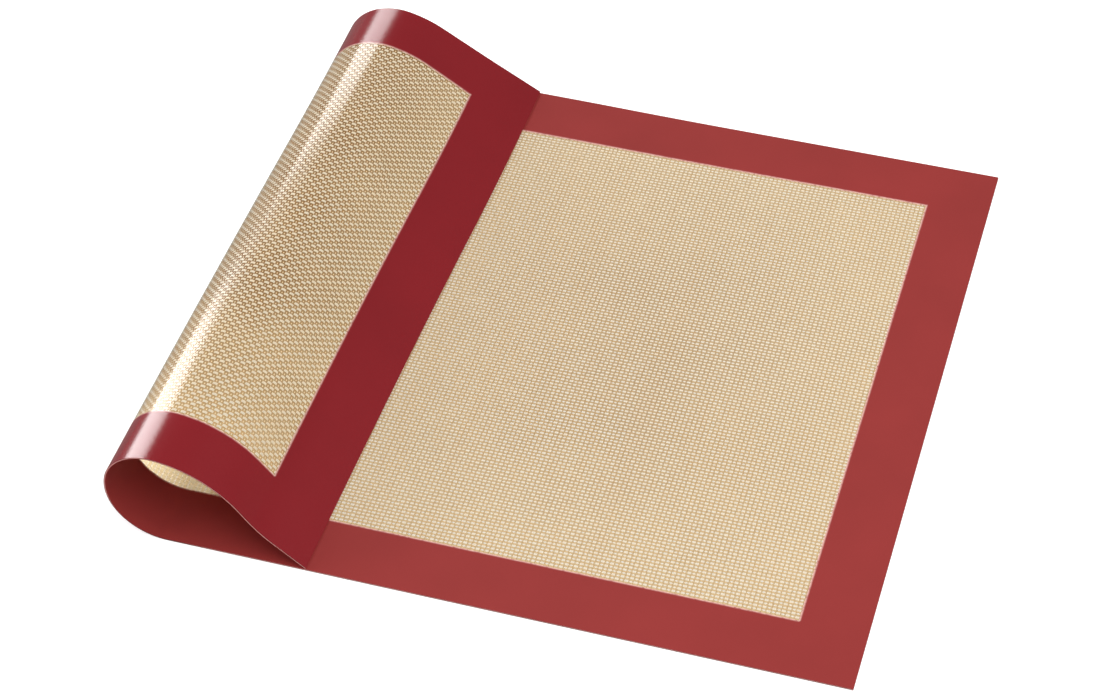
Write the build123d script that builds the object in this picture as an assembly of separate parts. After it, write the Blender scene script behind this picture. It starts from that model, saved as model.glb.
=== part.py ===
from build123d import *
import math
import os

# The mat before it is rolled, in millimetres
mat_length = 420.0
mat_width = 300.0
cloth_thickness = 0.25
skin_thickness = 0.25
side_border = 27.0
plain_end_border = 27.0
rolled_end_border = 28.6

# Roll at the front edge: radii in millimetres and angles in degrees, from the table up and over
front_heel_radius = 23.5
front_heel_angle = 105.0
front_shoulder_radius = 20.0
front_shoulder_angle = 79.8
front_crown_radius = 46.0
front_crown_angle = 47.8
front_settle_radius = 49.0
front_settle_angle = 13.4

# Roll at the back edge, which lies flatter
back_heel_radius = 13.0
back_heel_angle = 106.0
back_shoulder_radius = 25.2
back_shoulder_angle = 85.8
back_crown_radius = 50.8
back_crown_angle = 19.1
back_settle_radius = 98.0
back_settle_angle = 1.0

# Slight lift of the back edge under the folded-over end
lift_height = 0.8
lift_depth = 100.0
lift_rise_length = 105.0
lift_fall_length = 68.0

# The folded-over end comes down to this gap above the sheet that it rests on
rest_gap = 0.1

half_thickness = cloth_thickness / 2 + skin_thickness
half_cloth = cloth_thickness / 2

# Places across the width where the cross-section is set: the mat's edges and the window's spans
window_spans = 5
window_span = (mat_width - 2 * side_border) / window_spans
stations = [0.0]
for count in range(window_spans + 1):
    stations.append(side_border + count * window_span)
stations.append(mat_width)

mat_front = 0
window_front = 1
window_back = window_front + window_spans
mat_back = window_back + 1


def arc_stretch(radius, angle):
    """A round stretch of sheet: its length, and its turn in radians towards the upper face."""
    turn = math.radians(angle)
    return (radius * abs(turn), turn)


# Heel, shoulder, crown and settling bend at the two edges of the mat
front_bends = [
    arc_stretch(front_heel_radius, front_heel_angle),
    arc_stretch(front_shoulder_radius, front_shoulder_angle),
    arc_stretch(front_crown_radius, front_crown_angle),
    arc_stretch(front_settle_radius, -front_settle_angle),
]
back_bends = [
    arc_stretch(back_heel_radius, back_heel_angle),
    arc_stretch(back_shoulder_radius, back_shoulder_angle),
    arc_stretch(back_crown_radius, back_crown_angle),
    arc_stretch(back_settle_radius, -back_settle_angle),
]


def bends_at(station):
    """The four bends at a station, changing evenly from the front edge to the back."""
    depth_share = station / mat_width
    bends = []
    for front_bend, back_bend in zip(front_bends, back_bends):
        length = front_bend[0] + (back_bend[0] - front_bend[0]) * depth_share
        turn = front_bend[1] + (back_bend[1] - front_bend[1]) * depth_share
        bends.append((length, turn))
    return bends


def lift_at(station):
    """Height of the lift at a station, growing with the square of the way into it."""
    reach = max(0.0, station - (mat_width - lift_depth))
    return lift_height * (reach / lift_depth) ** 2


def slope_stretches(span, rise):
    """Two stretches, bending up and back level, that climb by rise over a level span."""
    if rise == 0:
        return [(span / 2, 0.0), (span / 2, 0.0)]
    turn = 2 * math.atan(rise / span)
    radius = span / (2 * math.sin(abs(turn)))
    length = radius * abs(turn)
    return [(length, turn), (length, -turn)]


def walk(stretches, x=0.0, z=0.0, heading=math.pi):
    """Places and headings at the start, middle and end of each stretch of the middle line."""
    places = []
    for length, turn in stretches:
        start = (x, z, heading)
        steps = []
        for part in (0.5, 1.0):
            if turn == 0:
                chord = length * part
                way = heading
            else:
                chord = 2 * length / turn * math.sin(turn * part / 2)
                way = heading - turn * part / 2
            end_x = x + chord * math.cos(way)
            end_z = z + chord * math.sin(way)
            steps.append((end_x, end_z, heading - turn * part))
        places.append((start, steps[0], steps[1]))
        x, z, heading = steps[1]
    return places


def cross_section(station):
    """Every stretch of the sheet at a station, from the plain end to the rolled end."""
    heel, shoulder, crown, settle = bends_at(station)
    toe = (rolled_end_border - settle[0], 0.0)
    lift = lift_at(station)
    rise = slope_stretches(lift_rise_length, lift)
    fall = slope_stretches(lift_fall_length, -lift)

    over_end = walk([heel, shoulder, crown])[-1][-1]
    tail_end = walk([settle, toe], *over_end)[-1][-1]
    seat_height = half_thickness + lift + rest_gap
    end_height = seat_height + half_thickness * abs(math.cos(tail_end[2]))
    descent = (end_height - tail_end[1]) / math.sin(over_end[2])
    slope = (descent, 0.0)

    shaped = rise + fall + [heel, shoulder, crown, slope, settle, toe]
    shaped_length = sum(length for length, turn in shaped)
    level = (mat_length - plain_end_border - shaped_length, 0.0)
    return [(plain_end_border, 0.0), level] + shaped


# Runs of stretches along the mat: all of it, the two end borders and the window between them
whole_length = slice(None)
plain_end_length = slice(1)
rolled_end_length = slice(-2, None)
window_length = slice(1, -2)


def offset_point(place, station, offset):
    """A point beside the middle line; a positive offset is towards the upper face."""
    x, z, heading = place
    return Vector(
        x + offset * math.sin(heading),
        station,
        z - offset * math.cos(heading),
    )


def offset_edges(places, station, offset):
    """The line or arc of each stretch, at one depth in the thickness."""
    edges = []
    for start, middle, end in places:
        first = offset_point(start, station, offset)
        last = offset_point(end, station, offset)
        if start[2] == end[2]:
            edges.append(Line(first, last))
        else:
            edges.append(ThreePointArc(first, offset_point(middle, station, offset), last))
    return edges


def layer_section(station, low_offset, high_offset, stretches):
    """Outline of one layer at a station, over a run of its stretches."""
    places = walk(cross_section(station), z=half_thickness)[stretches]
    low = offset_edges(places, station, low_offset)
    high = offset_edges(places, station, high_offset)
    start_cap = Line(high[0] @ 0, low[0] @ 0)
    end_cap = Line(low[-1] @ 1, high[-1] @ 1)
    return Face(Wire(low + [end_cap] + high + [start_cap]))


def layer(low_offset, high_offset, first_station, last_station, stretches=whole_length):
    """One layer's solid between two stations, ruled from section to section."""
    sections = []
    for station in stations[first_station : last_station + 1]:
        sections.append(layer_section(station, low_offset, high_offset, stretches))
    return loft(sections, ruled=True)


def window(low_offset, high_offset):
    """The clear field inside the border."""
    return layer(low_offset, high_offset, window_front, window_back, window_length)


def border(low_offset, high_offset):
    """The ring round the window: both long sides, the plain end and the rolled end."""
    front_side = layer(low_offset, high_offset, mat_front, window_front)
    back_side = layer(low_offset, high_offset, window_back, mat_back)
    plain_end = layer(low_offset, high_offset, window_front, window_back, plain_end_length)
    rolled_end = layer(low_offset, high_offset, window_front, window_back, rolled_end_length)
    return front_side + plain_end + back_side + rolled_end


pieces = {
    "glass_cloth": layer(-half_cloth, half_cloth, mat_front, mat_back),
    "upper_clear_coat": window(half_cloth, half_thickness),
    "under_clear_coat": window(-half_thickness, -half_cloth),
    "upper_red_border": border(half_cloth, half_thickness),
    "under_red_border": border(-half_thickness, -half_cloth),
}

# The origin is under the middle of the whole mat, on the table
boxes = [piece.bounding_box() for piece in pieces.values()]
middle_x = (min(box.min.X for box in boxes) + max(box.max.X for box in boxes)) / 2
middle = Location((-middle_x, -mat_width / 2, 0))

os.makedirs("parts", exist_ok=True)
for name, piece in pieces.items():
    placed = piece.moved(middle)
    placed.label = name
    export_step(placed, f"parts/{name}.step")
    solid_count = len(placed.solids())
    print(name, "solids", solid_count, "volume", round(placed.volume, 1), "valid", placed.is_valid)

for station in stations:
    stretches = cross_section(station)
    lengths = [round(length, 1) for length, turn in stretches]
    end = walk(stretches, z=half_thickness)[-1][-1]
    print("station", round(station), "lengths", lengths, "end", round(end[0], 1), round(end[1], 2))
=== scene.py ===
import math

import bpy
import numpy as np
from mathutils import Matrix, Vector


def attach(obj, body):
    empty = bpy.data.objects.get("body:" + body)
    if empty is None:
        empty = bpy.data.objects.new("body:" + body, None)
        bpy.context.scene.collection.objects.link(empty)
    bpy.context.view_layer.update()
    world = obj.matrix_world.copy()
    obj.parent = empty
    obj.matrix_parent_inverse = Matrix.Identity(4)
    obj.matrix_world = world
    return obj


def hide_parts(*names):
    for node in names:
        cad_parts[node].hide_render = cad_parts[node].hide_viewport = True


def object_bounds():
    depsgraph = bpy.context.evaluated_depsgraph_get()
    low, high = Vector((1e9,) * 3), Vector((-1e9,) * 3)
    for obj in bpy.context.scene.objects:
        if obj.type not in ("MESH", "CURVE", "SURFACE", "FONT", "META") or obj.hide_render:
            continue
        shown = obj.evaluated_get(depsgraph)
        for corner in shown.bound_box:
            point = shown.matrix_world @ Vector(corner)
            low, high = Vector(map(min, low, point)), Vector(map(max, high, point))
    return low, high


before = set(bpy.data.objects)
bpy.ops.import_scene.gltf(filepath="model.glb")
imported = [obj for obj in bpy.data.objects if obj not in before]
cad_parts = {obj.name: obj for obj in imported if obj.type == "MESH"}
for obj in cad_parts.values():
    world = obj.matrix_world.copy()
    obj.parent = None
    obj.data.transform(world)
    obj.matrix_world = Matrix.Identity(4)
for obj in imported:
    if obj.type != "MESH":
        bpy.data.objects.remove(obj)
cad_low, cad_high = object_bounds()

# The mat, in millimetres: the same values as in the part's source
mat_length = 420.0
mat_width = 300.0
cloth_thickness = 0.25
skin_thickness = 0.25
side_border = 27.0
plain_end_border = 27.0
rolled_end_border = 28.6

# Bends of the roll at the two edges: radius in millimetres, angle in degrees
front_bends = [(23.5, 105.0), (20.0, 79.8), (46.0, 47.8), (49.0, -13.4)]
back_bends = [(13.0, 106.0), (25.2, 85.8), (50.8, 19.1), (98.0, -1.0)]

lift_height = 0.8
lift_depth = 100.0
lift_rise_length = 105.0
lift_fall_length = 68.0
rest_gap = 0.1

half_thickness = cloth_thickness / 2 + skin_thickness
half_cloth = cloth_thickness / 2
millimetre = 0.001

# The weave: distance between neighbouring yarns, and how much of it a yarn covers
pitch_along = 1.875
pitch_across = 1.7606

# The yarns along the mat wave strongly over and under the straighter ones across it
along_cover = 0.72
along_thickness = 0.13
along_rise = 0.2
across_cover = 0.8
across_thickness = 0.09
across_rise = 0.1
across_depth = 0.045
yarn_skew = math.tan(math.radians(1.0))
wander_size = 0.035
crossings_per_wander = 6
width_variation = 0.05

# The yarns go on this far under the red borders
weave_margin = 2.6

window_start = plain_end_border
window_end = mat_length - rolled_end_border
window_front = side_border
window_back = mat_width - side_border

# Depths of the coats' faces from the middle of the thickness
coat_outer = half_thickness - 0.012
upper_inner = 0.16
under_inner = 0.085


def arc_sizes(bends):
    """Length and turn in radians of each bend."""
    return [(radius * math.radians(abs(angle)), math.radians(angle)) for radius, angle in bends]


def chord_of(length, turn):
    """Straight distance between the ends of an arc."""
    return length * np.sinc(turn / 2 / math.pi)


def step(x, z, heading, length, turn):
    """Place and heading after a stretch of the middle line."""
    chord = chord_of(length, turn)
    way = heading - turn / 2
    return x + chord * np.cos(way), z + chord * np.sin(way), heading - turn


def slope_sizes(span, rise):
    """The two stretches that climb by rise over a level span."""
    turn = 2 * np.arctan(rise / span)
    length = span / 2 / np.sinc(turn / math.pi)
    return [(length, turn), (length, -turn)]


def stretches_at(y):
    """Lengths and turns of all stretches at the stations y, from the plain end on."""
    share = y / mat_width
    flat = np.zeros_like(y)
    bends = []
    for front, back in zip(arc_sizes(front_bends), arc_sizes(back_bends)):
        length = front[0] + (back[0] - front[0]) * share
        turn = front[1] + (back[1] - front[1]) * share
        bends.append((length, turn))
    settle = bends[3]
    toe = (rolled_end_border - settle[0], flat)
    lift = lift_height * (np.maximum(0.0, y - (mat_width - lift_depth)) / lift_depth) ** 2
    x, z, heading = flat, flat, flat + math.pi
    for length, turn in bends[:3]:
        x, z, heading = step(x, z, heading, length, turn)
    over_heading = heading
    for length, turn in (settle, toe):
        x, z, heading = step(x, z, heading, length, turn)
    end_height = half_thickness + lift + rest_gap + half_thickness * np.abs(np.cos(heading))
    descent = (end_height - z) / np.sin(over_heading)
    shaped = slope_sizes(lift_rise_length, lift) + slope_sizes(lift_fall_length, -lift)
    shaped += bends[:3] + [(descent, flat), settle, toe]
    level = mat_length - plain_end_border - sum(length for length, turn in shaped)
    return [(flat + plain_end_border, flat), (level, flat)] + shaped


def middle_line(y, u):
    """Place and heading of the sheet's middle at station y and distance u from the plain end."""
    x = np.zeros_like(y)
    z = np.zeros_like(y) + half_thickness
    heading = np.zeros_like(y) + math.pi
    start = np.zeros_like(y)
    found = [x, z, heading]
    stretches = stretches_at(y)
    for number, (length, turn) in enumerate(stretches):
        low = -np.inf if number == 0 else 0.0
        high = np.inf if number == len(stretches) - 1 else 1.0
        part = np.clip((u - start) / length, low, high)
        inside = (u >= start) | (number == 0)
        here = step(x, z, heading, length * part, turn * part)
        found = [np.where(inside, new, old) for new, old in zip(here, found)]
        x, z, heading = step(x, z, heading, length, turn)
        start = start + length
    return found


def placed(y, u, offset):
    """Points of the sheet in the row frame, in metres; a positive offset is towards the upper face."""
    y, u, offset = np.broadcast_arrays(np.asarray(y, float), np.asarray(u, float), offset)
    x, z, heading = middle_line(y, u)
    row_x = (x + offset * np.sin(heading)) * millimetre + cad_high[0]
    row_y = (y - mat_width / 2) * millimetre
    row_z = (z - offset * np.cos(heading)) * millimetre
    return np.stack([row_x, row_y, row_z], axis=-1)


# Edges sharper than this stay sharp
sharp_angle = math.radians(60)


def add_piece(name, points, faces, materials, values=None, smooth=None):
    """A mesh object that rides on the mat's one body; all its faces are smooth unless smooth says."""
    mesh = bpy.data.meshes.new(name)
    mesh.from_pydata(points.tolist(), [], faces)
    for key, numbers in (values or {}).items():
        numbers = np.asarray(numbers, np.float32)
        kind = "FLOAT_VECTOR" if numbers.ndim == 2 else "FLOAT"
        field = "vector" if numbers.ndim == 2 else "value"
        mesh.attributes.new(key, kind, "POINT").data.foreach_set(field, numbers.ravel())
    mesh.polygons.foreach_set("use_smooth", smooth or [True] * len(mesh.polygons))
    mesh.set_sharp_from_angle(angle=sharp_angle)
    for material in materials:
        mesh.materials.append(material)
    mesh.update()
    piece = bpy.data.objects.new(name, mesh)
    bpy.context.scene.collection.objects.link(piece)
    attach(piece, "root")
    return piece


upper_face, under_face, wall = range(3)


def layer_mesh(y, u, low, high, keep):
    """Closed layer over the kept cells of a grid: points, faces and a kind for each face."""
    rows, columns = y.shape
    top = placed(y, u, high).reshape(-1, 3)
    bottom = placed(y, u, low).reshape(-1, 3)
    count = rows * columns
    index = np.arange(count).reshape(rows, columns)
    a, b = index[:-1, :-1], index[:-1, 1:]
    c, d = index[1:, 1:], index[1:, :-1]
    quads = np.stack([a, b, c, d], axis=-1)
    cells = quads[keep]
    upper = cells[:, ::-1]
    lower = cells + count
    walls = []
    padded = np.pad(keep, 1)
    for edge, (row, column) in enumerate(((-1, 0), (0, 1), (1, 0), (0, -1))):
        beside = padded[1 + row : 1 + row + keep.shape[0], 1 + column : 1 + column + keep.shape[1]]
        border = quads[keep & ~beside]
        first, second = border[:, edge], border[:, (edge + 1) % 4]
        walls.append(np.stack([second, first, first + count, second + count], axis=-1)[:, ::-1])
    walls = np.concatenate(walls)
    faces = np.concatenate([upper, lower, walls])
    kinds = [upper_face] * len(upper) + [under_face] * len(lower) + [wall] * len(walls)
    used, faces = np.unique(faces, return_inverse=True)
    points = np.concatenate([top, bottom])[used]
    flat = np.stack([np.tile(u.ravel(), 2), np.tile(y.ravel(), 2)], axis=-1)[used]
    return points, faces.reshape(-1, 4).tolist(), kinds, flat


def lines_between(*stops):
    """Grid lines through the stops: each stop is a place and the spacing up to it."""
    lines = [stops[0][0]]
    for place, spacing in stops[1:]:
        steps = max(1, round((place - lines[-1]) / spacing))
        lines += list(np.linspace(lines[-1], place, steps + 1)[1:])
    return np.array(lines)


def new_material(name):
    """A new material and its empty node tree."""
    material = bpy.data.materials.new(name)
    material.use_nodes = True
    tree = material.node_tree
    tree.nodes.clear()
    return material, tree


def node(tree, kind, inputs=None, **settings):
    """A node with its settings, its inputs set to values or linked from other nodes' outputs."""
    made = tree.nodes.new(kind)
    for key, value in settings.items():
        setattr(made, key, value)
    for key, value in (inputs or {}).items():
        if isinstance(value, bpy.types.NodeSocket):
            tree.links.new(value, made.inputs[key])
        else:
            made.inputs[key].default_value = value
    return made


def math_node(tree, operation, first, second=0.0, clamp=False):
    """The result of one operation on two values."""
    made = node(tree, "ShaderNodeMath", {0: first, 1: second}, operation=operation)
    made.use_clamp = clamp
    return made.outputs[0]


def times(tree, first, second, clamp=False):
    """The product of two values."""
    return math_node(tree, "MULTIPLY", first, second, clamp)


def plus(tree, first, second):
    """The sum of two values."""
    return math_node(tree, "ADD", first, second)


def colour(red, green, blue):
    """A screen colour, 0 to 255, as the shader's linear colour."""
    linear = []
    for value in (red, green, blue):
        share = value / 255
        linear.append(share / 12.92 if share <= 0.04045 else ((share + 0.055) / 1.055) ** 2.4)
    return (*linear, 1.0)


white = (1.0, 1.0, 1.0, 1.0)


def mixed(tree, factor, first, second):
    """A colour between two."""
    made = node(tree, "ShaderNodeMix", data_type="RGBA")
    for socket, value in ((0, factor), (6, first), (7, second)):
        if isinstance(value, bpy.types.NodeSocket):
            tree.links.new(value, made.inputs[socket])
        else:
            made.inputs[socket].default_value = value
    return made.outputs[2]


def flat_place(tree):
    """The place on the flat mat in millimetres: the vector, along and across."""
    vector = node(tree, "ShaderNodeAttribute", attribute_name="flat_place").outputs["Vector"]
    split = node(tree, "ShaderNodeSeparateXYZ", {0: vector})
    return vector, split.outputs[0], split.outputs[1]


def noise(tree, vector, scale, detail=2.0, roughness=0.5):
    """Soft random values over the flat mat, with scale in waves for each millimetre."""
    inputs = {"Vector": vector, "Scale": scale, "Detail": detail, "Roughness": roughness}
    return node(tree, "ShaderNodeTexNoise", inputs).outputs["Fac"]


def spread(tree, value, low, high):
    """A value stretched so that low becomes 0 and high becomes 1."""
    inputs = {"Value": value, "From Min": low, "From Max": high}
    return node(tree, "ShaderNodeMapRange", inputs).outputs["Result"]


# Nearly all values of a noise lie between these two
noise_range = (0.3, 0.7)


def patches(tree, vector, scale, detail=2.0, roughness=0.5):
    """Noise stretched to run from 0 to 1."""
    return spread(tree, noise(tree, vector, scale, detail, roughness), *noise_range)


def weave_height(tree, along, across):
    """The weave's relief: high where a yarn is on top, in a checker."""
    skewed = math_node(tree, "SUBTRACT", along, times(tree, across, yarn_skew))
    turns_along = times(tree, skewed, math.pi / pitch_along)
    turns_across = times(tree, across, math.pi / pitch_across)
    wave_along = math_node(tree, "COSINE", turns_along)
    wave_across = math_node(tree, "COSINE", turns_across)
    return times(tree, wave_along, wave_across)


# Each pair holds a place on the flat mat where something is nil and a place where it is full.
# The painted glow of the bend grows from its two ends, and the extra haze of the roll's crest, a
# painted pale rim along its silhouette, grows towards the bend
bend_start = (255.0, 268.0)
bend_end = (306.0, 299.0)
painted_rim_start = (345.0, 322.0)

# The painted shade grows from the window's edges: the first two pairs on both faces, the others on
# one. It paints the flat part darker inwards and lighter towards its edges and the roll, and the
# folded part darker between the roll's crest and the rolled end
painted_shade_from_plain_end = (20.0, 105.0)
painted_shade_from_front = (30.0, 110.0)
upper_painted_shade_from_back = (280.0, 195.0)
upper_painted_shade_from_roll = (240.0, 140.0)
under_painted_shade_from_crest = (316.0, 334.0)
under_painted_shade_from_rolled_end = (402.0, 352.0)

# Weights of the even painted shade and of the clouds of browning
painted_shade_weight = 0.8
browned_clouds = 0.2


def painted_glow_in_bend(tree, along):
    """1 where the sheet bends up from the table, 0 elsewhere: there a clearer film, a pale haze and
    more see-through yarns paint the bright glow of light shining through the sheet.
    """
    return times(tree, spread(tree, along, *bend_start), spread(tree, along, *bend_end))


def painted_shade_and_browning(tree, vector, along, across, on_top):
    """Painted shade that is least near the edges, plus clouds where baking has browned the clear
    silicone.
    """
    middle = spread(tree, along, *painted_shade_from_plain_end)
    middle = times(tree, middle, spread(tree, across, *painted_shade_from_front))
    if on_top:
        middle = times(tree, middle, spread(tree, across, *upper_painted_shade_from_back))
        middle = times(tree, middle, spread(tree, along, *upper_painted_shade_from_roll))
    else:
        middle = times(tree, middle, spread(tree, along, *under_painted_shade_from_crest))
        middle = times(tree, middle, spread(tree, along, *under_painted_shade_from_rolled_end))
    clouds = patches(tree, vector, scale=0.03, detail=3.0)
    return plus(tree, times(tree, middle, painted_shade_weight), times(tree, clouds, browned_clouds))


def finish_material(tree, shader):
    """The shader becomes the material's surface."""
    node(tree, "ShaderNodeOutputMaterial", {"Surface": shader.outputs[0]})


# Index of refraction: silicone's own on the matt upper face, and more on the glossy under face
matt_index = 1.41
glossy_index = 1.7

# Red that has bled into the window's edge, and the height of the skin's fine grain in millimetres
bled_red = colour(236, 190, 178)
grain_height = 0.01


def red_silicone(name, light, dark, dullness, index, shine, emboss):
    """Matt or glossy red silicone with a faint print of the weave below it."""
    material, tree = new_material(name)
    vector, along, across = flat_place(tree)
    clouds = patches(tree, vector, scale=0.02, detail=3.0)
    grain = patches(tree, vector, scale=1.4, detail=3.0, roughness=0.7)
    tone = plus(tree, times(tree, clouds, 0.6), times(tree, grain, 0.4))
    base = mixed(tree, tone, dark, light)
    rim = node(tree, "ShaderNodeAttribute", attribute_name="rim").outputs["Fac"]
    smudges = spread(tree, noise(tree, vector, scale=0.7, detail=1.0), 0.1, 0.5)
    bleed = times(tree, rim, smudges, clamp=True)
    base = mixed(tree, bleed, base, bled_red)
    height = times(tree, weave_height(tree, along, across), emboss)
    height = plus(tree, height, times(tree, grain, grain_height))
    relief = {"Height": height, "Strength": 1.0, "Distance": millimetre}
    bump = node(tree, "ShaderNodeBump", relief)
    rough = plus(tree, times(tree, grain, 0.08), dullness)
    inputs = {
        "Base Color": base, "Roughness": rough, "Normal": bump.outputs[0],
        "IOR": index, "Specular IOR Level": shine,
    }
    shader = node(tree, "ShaderNodeBsdfPrincipled", inputs)
    finish_material(tree, shader)
    return material


def clear_gloss(name, roughness, emboss, ripple, index, tint):
    """The smooth outer face of the clear silicone."""
    material, tree = new_material(name)
    vector, along, across = flat_place(tree)
    height = times(tree, weave_height(tree, along, across), emboss)
    height = plus(tree, height, times(tree, noise(tree, vector, scale=0.9), ripple))
    relief = {"Height": height, "Strength": 1.0, "Distance": millimetre}
    bump = node(tree, "ShaderNodeBump", relief)
    fresnel = node(tree, "ShaderNodeFresnel", {"IOR": index, "Normal": bump.outputs[0]})
    inside = node(tree, "ShaderNodeNewGeometry").outputs["Backfacing"]
    outside = math_node(tree, "SUBTRACT", 1.0, inside)
    share = times(tree, fresnel.outputs[0], outside)
    clear = node(tree, "ShaderNodeBsdfTransparent", {"Color": tint})
    reflecting = {"Roughness": roughness, "Normal": bump.outputs[0]}
    shine = node(tree, "ShaderNodeBsdfGlossy", reflecting)
    inputs = {0: share, 1: clear.outputs[0], 2: shine.outputs[0]}
    finish_material(tree, node(tree, "ShaderNodeMixShader", inputs))
    return material


# The clear silicone's haze, most of which is gone in the bend, and the pale haze colour painted there
# as a glow of light shining through the sheet
haze_share = 0.5
haze_lost_in_painted_glow = 0.85
painted_glow_milk = colour(248, 234, 208)


def clear_amber(name, tints, hazes, on_top, painted_rim_haze):
    """The depth of the clear silicone between the yarns: tints and hazes from pale to dark by painted
    shade and browning, with a painted glow in the bend and a painted pale rim up to the crest.
    """
    material, tree = new_material(name)
    vector, along, across = flat_place(tree)
    # The tint and haze darken with painted shade, and with clouds of browning
    shade_and_browning = painted_shade_and_browning(tree, vector, along, across, on_top)
    bend = painted_glow_in_bend(tree, along)
    # In the bend the film turns clear and the haze pale cream: painted glow of light shining through
    # the sheet
    film = mixed(tree, bend, mixed(tree, shade_and_browning, *tints), white)
    milk = mixed(tree, bend, mixed(tree, shade_and_browning, *hazes), painted_glow_milk)
    through = node(tree, "ShaderNodeBsdfTransparent", {"Color": film})
    milky = node(tree, "ShaderNodeBsdfDiffuse", {"Color": milk})
    glowing = node(tree, "ShaderNodeBsdfTranslucent", {"Color": milk})
    halves = {0: 0.5, 1: milky.outputs[0], 2: glowing.outputs[0]}
    body = node(tree, "ShaderNodeMixShader", halves)
    # Extra pale haze up to the roll's crest: a painted pale rim along the roll's silhouette
    painted_rim = times(tree, spread(tree, along, *painted_rim_start), painted_rim_haze)
    kept = math_node(tree, "SUBTRACT", 1.0, times(tree, bend, haze_lost_in_painted_glow))
    haze = times(tree, plus(tree, painted_rim, haze_share), kept)
    inputs = {0: haze, 1: through.outputs[0], 2: body.outputs[0]}
    finish_material(tree, node(tree, "ShaderNodeMixShader", inputs))
    return material


# Share of the yarns' light that comes through them, on the flat and in the bend, where it is raised
# along with the painted glow there
yarn_glow = 0.4
yarn_glow_in_bend = 0.95

# Height of the single fibres on a yarn, in millimetres
fibre_height = 0.05


def glass_yarn(name, light, dark):
    """Bundled glass fibres in silicone: cream, and bright where light comes through."""
    material, tree = new_material(name)
    vector, along, across = flat_place(tree)
    tone = node(tree, "ShaderNodeAttribute", attribute_name="tone").outputs["Fac"]
    clouds = patches(tree, vector, scale=0.015)
    fibres = patches(tree, vector, scale=3.0)
    share = times(tree, tone, 0.5)
    share = plus(tree, share, times(tree, clouds, 0.25))
    share = plus(tree, share, times(tree, fibres, 0.25))
    base = mixed(tree, share, dark, light)
    relief = {"Height": fibres, "Strength": 0.1, "Distance": fibre_height * millimetre}
    bump = node(tree, "ShaderNodeBump", relief)
    inputs = {
        "Base Color": base, "Roughness": 0.6, "Normal": bump.outputs[0],
        "IOR": matt_index, "Specular IOR Level": 0.2,
    }
    solid = node(tree, "ShaderNodeBsdfPrincipled", inputs)
    through = node(tree, "ShaderNodeBsdfTranslucent", {"Color": base})
    # The yarns let more light through in the bend, along with the painted glow there
    lit_up = times(tree, painted_glow_in_bend(tree, along), yarn_glow_in_bend - yarn_glow)
    inputs = {0: plus(tree, lit_up, yarn_glow), 1: solid.outputs[0], 2: through.outputs[0]}
    finish_material(tree, node(tree, "ShaderNodeMixShader", inputs))
    return material


# Camera at the photograph's viewing angle
camera_place = Vector((0.24986, -0.85664, 0.87271))
camera_elevation = math.radians(44.511)
camera_azimuth = math.radians(16.772)
camera_roll = math.radians(-0.649)
forward = Vector((
    -math.sin(camera_azimuth) * math.cos(camera_elevation),
    math.cos(camera_azimuth) * math.cos(camera_elevation),
    -math.sin(camera_elevation),
))
level_right = forward.cross(Vector((0, 0, 1))).normalized()
level_up = level_right.cross(forward)
right = level_right * math.cos(camera_roll) + level_up * math.sin(camera_roll)
up = level_up * math.cos(camera_roll) - level_right * math.sin(camera_roll)
camera_data = bpy.data.cameras.new("camera")
camera_data.sensor_width = 36.0
camera_data.lens = 96.90
camera = bpy.data.objects.new("camera", camera_data)
bpy.context.scene.collection.objects.link(camera)
axes = Matrix((right, up, -forward)).transposed().to_4x4()
camera.matrix_world = Matrix.Translation(camera_place) @ axes
bpy.context.scene.camera = camera


# Materials
upper_red = red_silicone(
    "red_silicone_upper", colour(151, 54, 52), colour(139, 49, 47),
    dullness=0.62, index=matt_index, shine=0.15, emboss=0.004,
)
under_red = red_silicone(
    "red_silicone_under", colour(138, 24, 32), colour(128, 21, 29),
    dullness=0.17, index=glossy_index, shine=0.5, emboss=0.005,
)
upper_gloss = clear_gloss(
    "clear_silicone_upper", roughness=0.3, emboss=0.03, ripple=0.01,
    index=matt_index, tint=white,
)
under_gloss = clear_gloss(
    "clear_silicone_under", roughness=0.16, emboss=0.003, ripple=0.001,
    index=glossy_index, tint=(0.98, 0.95, 0.88, 1.0),
)
# Each pair runs from pale to the darkest painted shade and browning
upper_tints = ((0.985, 0.94, 0.835, 1.0), (0.955, 0.88, 0.765, 1.0))
upper_hazes = (colour(224, 199, 158), colour(202, 175, 134))
upper_amber = clear_amber(
    "clear_silicone_upper_depth", upper_tints, upper_hazes, on_top=True, painted_rim_haze=0.0
)
under_tints = ((0.96, 0.91, 0.81, 1.0), (0.8, 0.68, 0.49, 1.0))
under_hazes = (colour(232, 203, 160), colour(174, 132, 77))
under_amber = clear_amber(
    "clear_silicone_under_depth", under_tints, under_hazes, on_top=False, painted_rim_haze=0.38
)
along_yarn = glass_yarn("glass_weave_along", colour(255, 254, 250), colour(255, 250, 238))
across_yarn = glass_yarn("glass_weave_across", colour(255, 252, 240), colour(253, 244, 224))
cloth = glass_yarn("glass_weave_edge", colour(246, 200, 192), colour(236, 180, 172))


# Grid lines of the layers: their spacing in millimetres
border_step = 9.0
rolled_border_step = 3.6
rim_width = 0.8
wide_step = 8.2
along_lines = lines_between(
    (0.0, 0), (window_start - rim_width, border_step), (window_start, rim_width),
    (window_end, pitch_along), (window_end + rim_width, rim_width), (mat_length, rolled_border_step),
)
across_lines = lines_between(
    (0.0, 0), (window_front - rim_width, border_step), (window_front, rim_width),
    (window_back, pitch_across), (window_back + rim_width, rim_width), (mat_width, border_step),
)
coat_along = lines_between((window_start, 0), (window_end, pitch_along))
coat_across = lines_between((window_front, 0), (window_back, wide_step))

random_seed = 11
random = np.random.RandomState(random_seed)

# Grid lines nearer to the window's edge than this are on it
same_line = 0.01

# The red's edge runs up to this far into the window
ragged_edge = 0.12


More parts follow.
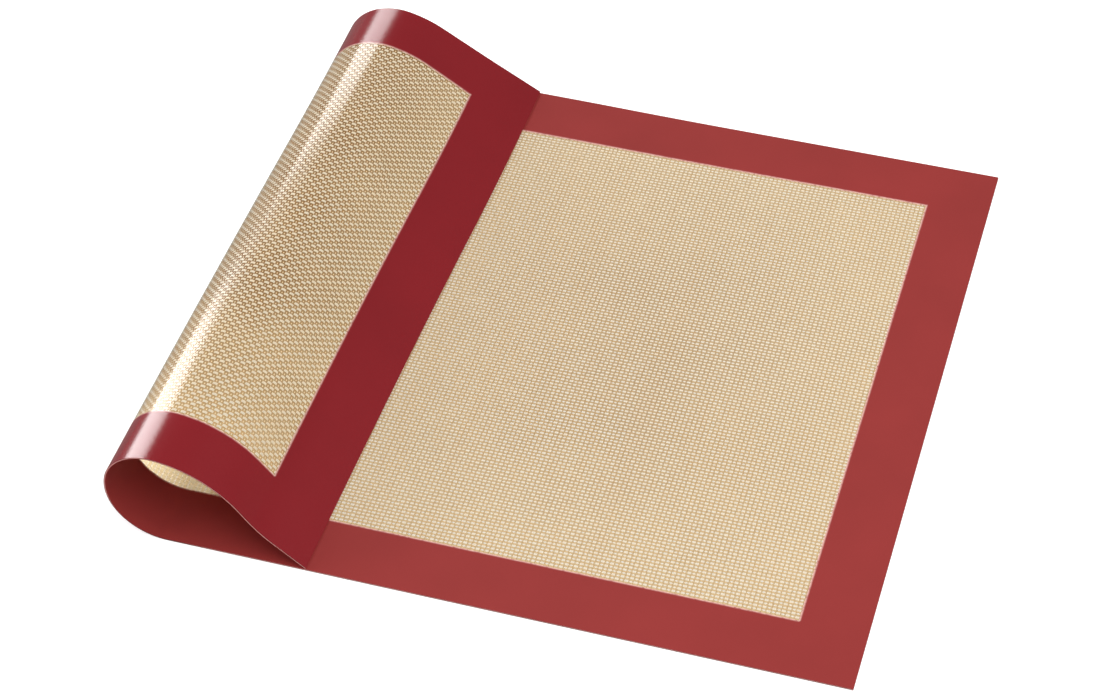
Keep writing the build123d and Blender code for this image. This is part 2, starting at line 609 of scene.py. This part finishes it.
def ring_grid(ragged):
    """Grid of the border ring, its window edge moved into the window by a ragged amount."""
    u, y = np.meshgrid(along_lines, across_lines)
    in_window_u = (u > window_start + same_line) & (u < window_end - same_line)
    in_window_y = (y > window_front + same_line) & (y < window_back - same_line)
    on_front = np.isclose(y, window_front) & in_window_u
    on_back = np.isclose(y, window_back) & in_window_u
    on_plain = np.isclose(u, window_start) & in_window_y
    on_rolled = np.isclose(u, window_end) & in_window_y
    reach = random.uniform(0.0, ragged, u.shape)
    y = y + reach * on_front - reach * on_back
    u = u + reach * on_plain - reach * on_rolled
    middle_u = (along_lines[:-1] + along_lines[1:]) / 2
    middle_y = (across_lines[:-1] + across_lines[1:]) / 2
    open_u = (middle_u > window_start) & (middle_u < window_end)
    open_y = (middle_y > window_front) & (middle_y < window_back)
    keep = ~(open_y[:, None] & open_u[None, :])
    return y, u, keep


def edge_nearness(flat):
    """1 at the window's edge of the border, 0 from the rim's width away on."""
    u, y = flat[:, 0], flat[:, 1]
    beside_u = np.maximum(window_start - u, u - window_end)
    beside_y = np.maximum(window_front - y, y - window_back)
    away = np.maximum(beside_u, beside_y)
    return np.clip(1 - away / rim_width, 0, 1)


def as_vectors(flat):
    """Flat places with a third number, 0, added to each."""
    return np.column_stack([flat, np.zeros(len(flat))])


def ring(name, node_name, low, high, material):
    """A red border ring, as a closed layer with the window left open."""
    y, u, keep = ring_grid(ragged_edge)
    points, faces, kinds, flat = layer_mesh(y, u, low, high, keep)
    values = {"flat_place": as_vectors(flat), "rim": edge_nearness(flat)}
    smooth = [kind != wall for kind in kinds]
    piece = add_piece(name, points, faces, [material], values, smooth)
    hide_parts(node_name)
    return piece


def coat(name, node_name, low, high, gloss, amber, gloss_kind):
    """A clear coat: a glossy outer face, and a tinted inner face between the yarns."""
    u, y = np.meshgrid(coat_along, coat_across)
    keep = np.ones((len(coat_across) - 1, len(coat_along) - 1), bool)
    points, faces, kinds, flat = layer_mesh(y, u, low, high, keep)
    values = {"flat_place": as_vectors(flat)}
    smooth = [kind != wall for kind in kinds]
    piece = add_piece(name, points, faces, [gloss, amber], values, smooth)
    slots = [0 if kind == gloss_kind else 1 for kind in kinds]
    piece.data.polygons.foreach_set("material_index", slots)
    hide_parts(node_name)
    return piece


def smooth_wander(shape):
    """Random offsets that change slowly along the second direction, between knots."""
    knots = shape[1] // crossings_per_wander + 3
    coarse = random.normal(0.0, wander_size, (shape[0], knots))
    just_short_of_last = knots - 1.001
    places = np.linspace(0, just_short_of_last, shape[1])
    low = places.astype(int)
    part = places - low
    return coarse[:, low] * (1 - part) + coarse[:, low + 1] * part


# The three corners of a yarn's cross-section, as shares of its half width and of its thickness
corner_sides = np.array([1.0, -1.0, 0.0])
corner_depths = np.array([-0.8, -0.8, 1.0])
corners = len(corner_sides)


def yarn_mesh(centre_y, centre_u, offset, half_width, thickness, runs_along):
    """Closed three-sided yarns, a ring for each crossing; the flat side is down only along the mat."""
    yarns, crossings = centre_y.shape
    depth = corner_depths * (thickness if runs_along else -thickness)
    widths = half_width[..., None] * corner_sides
    if runs_along:
        y = centre_y[..., None] + widths
        u = np.repeat(centre_u[..., None], corners, axis=-1)
    else:
        y = np.repeat(centre_y[..., None], corners, axis=-1)
        u = centre_u[..., None] + widths
    points = placed(y, u, offset[..., None] + depth)
    index = np.arange(yarns * crossings * corners).reshape(yarns, crossings, corners)
    a, b = index[:, :-1], index[:, 1:]
    following = [1, 2, 0]
    round_side = [False, True, True]
    quads = np.stack([a, a[..., following], b[..., following], b], axis=-1).reshape(-1, 4)
    start_caps = index[:, 0, ::-1]
    end_caps = index[:, -1]
    faces = quads.tolist() + start_caps.tolist() + end_caps.tolist()
    smooth = round_side * (len(quads) // corners) + [False] * (len(faces) - len(quads))
    flat = np.stack([u, y, np.zeros_like(u)], axis=-1).reshape(-1, 3)
    return points.reshape(-1, 3), faces, smooth, flat


# The woven cloth: yarns along the mat and yarns across it
yarn_count_across = int((window_back - window_front + 2 * weave_margin) / pitch_across) + 1
yarn_count_along = int((window_end - window_start + 2 * weave_margin) / pitch_along) + 1
first_across = (window_front + window_back) / 2 - (yarn_count_across - 1) / 2 * pitch_across
first_along = (window_start + window_end) / 2 - (yarn_count_along - 1) / 2 * pitch_along
rows = np.arange(yarn_count_across)[:, None]
columns = np.arange(yarn_count_along)[None, :]
crossing_y = first_across + rows * pitch_across + np.zeros_like(columns)
crossing_u = first_along + columns * pitch_along + (crossing_y - mat_width / 2) * yarn_skew
up_or_down = np.where((rows + columns) % 2 == 0, 1.0, -1.0)

along_y = crossing_y + smooth_wander(crossing_y.shape)
along_widths = 1 + random.normal(0, width_variation, crossing_y.shape)
along_points, along_faces, along_smooth, along_flat = yarn_mesh(
    along_y, crossing_u, up_or_down * along_rise,
    pitch_across * along_cover / 2 * along_widths, along_thickness, runs_along=True,
)
along_tone = np.repeat(random.uniform(0, 1, yarn_count_across), yarn_count_along * corners)

across_u = crossing_u.T + smooth_wander(crossing_u.T.shape)
across_widths = 1 + random.normal(0, width_variation, across_u.shape)
across_points, across_faces, across_smooth, across_flat = yarn_mesh(
    crossing_y.T, across_u, across_depth - up_or_down.T * across_rise,
    pitch_along * across_cover / 2 * across_widths, across_thickness, runs_along=False,
)
across_tone = np.repeat(random.uniform(0, 1, yarn_count_along), yarn_count_across * corners)

# The cloth under the borders goes out to the cut edges, in one piece with the yarns along the mat
band_y, band_u, band_keep = ring_grid(0.0)
band_points, band_faces, _, band_flat = layer_mesh(
    band_y, band_u, -half_cloth, half_cloth, band_keep
)
shifted = [[corner + len(along_points) for corner in face] for face in band_faces]
cloth_points = np.concatenate([along_points, band_points])
cloth_flat = np.concatenate([along_flat, as_vectors(band_flat)])
band_tone = 0.5
cloth_tone = np.concatenate([along_tone, np.full(len(band_points), band_tone)])
glass_cloth = add_piece(
    "glass_cloth_woven", cloth_points, along_faces + shifted, [along_yarn, cloth],
    {"flat_place": cloth_flat, "tone": cloth_tone}, along_smooth + [True] * len(shifted),
)
band_slots = [0] * len(along_faces) + [1] * len(shifted)
glass_cloth.data.polygons.foreach_set("material_index", band_slots)
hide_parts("glass_cloth")

cross_yarns = add_piece(
    "glass_cloth_cross_yarns", across_points, across_faces, [across_yarn],
    {"flat_place": across_flat, "tone": across_tone}, across_smooth,
)
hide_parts("glass_cloth")

upper_coat = coat(
    "upper_coat_clear", "upper_clear_coat",
    upper_inner, coat_outer, upper_gloss, upper_amber, upper_face,
)
under_coat = coat(
    "under_coat_clear", "under_clear_coat",
    -coat_outer, -under_inner, under_gloss, under_amber, under_face,
)
upper_border = ring(
    "upper_border_ring", "upper_red_border",
    half_cloth, half_thickness, upper_red,
)
under_border = ring(
    "under_border_ring", "under_red_border",
    -half_thickness, -half_cloth, under_red,
)


# Floor: white to the camera and grey in the gloss, just below the mat
floor_reach = 4.0
floor_drop = 0.0002
floor_corners = [
    (-floor_reach, -floor_reach, 0), (floor_reach, -floor_reach, 0),
    (floor_reach, floor_reach, 0), (-floor_reach, floor_reach, 0),
]
floor_mesh = bpy.data.meshes.new("floor")
floor_mesh.from_pydata(floor_corners, [], [(0, 1, 2, 3)])
floor = bpy.data.objects.new("floor", floor_mesh)
bpy.context.scene.collection.objects.link(floor)
floor.location.z = -floor_drop
floor_material, tree = new_material("floor_white")
paths = node(tree, "ShaderNodeLightPath")
camera_ray = paths.outputs["Is Camera Ray"]
seen = math_node(tree, "MAXIMUM", camera_ray, paths.outputs["Is Transmission Ray"])
floor_white = (0.8, 0.8, 0.8, 1.0)
floor_grey = (0.2, 0.2, 0.2, 1.0)
floor_glow = 0.5
shade = mixed(tree, paths.outputs["Is Glossy Ray"], floor_white, floor_grey)
paper = node(tree, "ShaderNodeBsdfDiffuse", {"Color": shade})
glow = node(tree, "ShaderNodeEmission", {"Strength": times(tree, seen, floor_glow)})
finish_material(tree, node(tree, "ShaderNodeAddShader", {0: paper.outputs[0], 1: glow.outputs[0]}))
floor_mesh.materials.append(floor_material)

# World: white to the camera, half as bright on the mat, and dim in its gloss
world_light = 0.5
world_light_lost_in_gloss = 0.4
world = bpy.data.worlds.new("studio")
world.use_nodes = True
bpy.context.scene.world = world
tree = world.node_tree
tree.nodes.clear()
paths = node(tree, "ShaderNodeLightPath")
lost = times(tree, paths.outputs["Is Glossy Ray"], world_light_lost_in_gloss)
lit = math_node(tree, "SUBTRACT", world_light, lost)
strength = math_node(tree, "MAXIMUM", paths.outputs["Is Camera Ray"], lit)
sky = node(tree, "ShaderNodeBackground", {"Color": white, "Strength": strength})
node(tree, "ShaderNodeOutputWorld", {"Surface": sky.outputs[0]})


# A strip stands this far in front of its softbox
strip_lead = 0.02


def softbox(name, place, facing, long_axis, length, width, power, in_gloss_only=False):
    """A rectangular area light at a place, facing a direction, its length along another."""
    data = bpy.data.lights.new(name, "AREA")
    data.shape = "RECTANGLE"
    data.size = length
    data.size_y = width
    data.energy = power
    lamp = bpy.data.objects.new(name, data)
    bpy.context.scene.collection.objects.link(lamp)
    back = -Vector(facing).normalized()
    along = Vector(long_axis)
    along = (along - along.dot(back) * back).normalized()
    turned = Matrix((along, back.cross(along), back)).transposed().to_4x4()
    stand = Vector(place)
    if in_gloss_only:
        stand -= strip_lead * back
    lamp.matrix_world = Matrix.Translation(stand) @ turned
    lamp.visible_diffuse = not in_gloss_only


# The two slanted softboxes behind the roll make its two streaks, one helped by a strip seen in gloss
softbox(
    "softbox_back", (-0.805, 1.286, 0.606), (0.458, -0.693, -0.557), (0.810, 0.067, 0.583),
    length=0.669, width=0.35, power=3.8,
)
left_box = (
    (-1.164, 0.846, 0.680), (0.607, -0.662, -0.440), (0.518, -0.091, 0.850), 1.045, 0.34
)
softbox("softbox_left", *left_box, power=5.5)
softbox("strip_left", *left_box, power=2.8, in_gloss_only=True)

# Two over the front and the right fill in, and a low one at the roll's side shines through its weave
softbox(
    "softbox_front", (0.6, -0.7, 1.35), (-0.55, 0.7, -1.35), (1.0, 0.0, 0.0),
    length=1.0, width=1.0, power=12.0,
)
softbox(
    "softbox_right", (0.9, 0.15, 1.3), (-0.9, -0.15, -1.3), (0.0, 1.0, 0.0),
    length=1.0, width=1.0, power=6.5,
)
softbox(
    "softbox_side", (-1.1, -0.4, 0.3), (0.97, 0.3, -0.27), (1.0, -3.0, 0.0),
    length=0.6, width=0.5, power=5.0,
)

bpy.context.scene.view_settings.view_transform = "Standard"

# Enough for a ray to pass all the clear faces and yarns of the folded part and the sheet below it
bpy.context.scene.cycles.transparent_max_bounces = 24
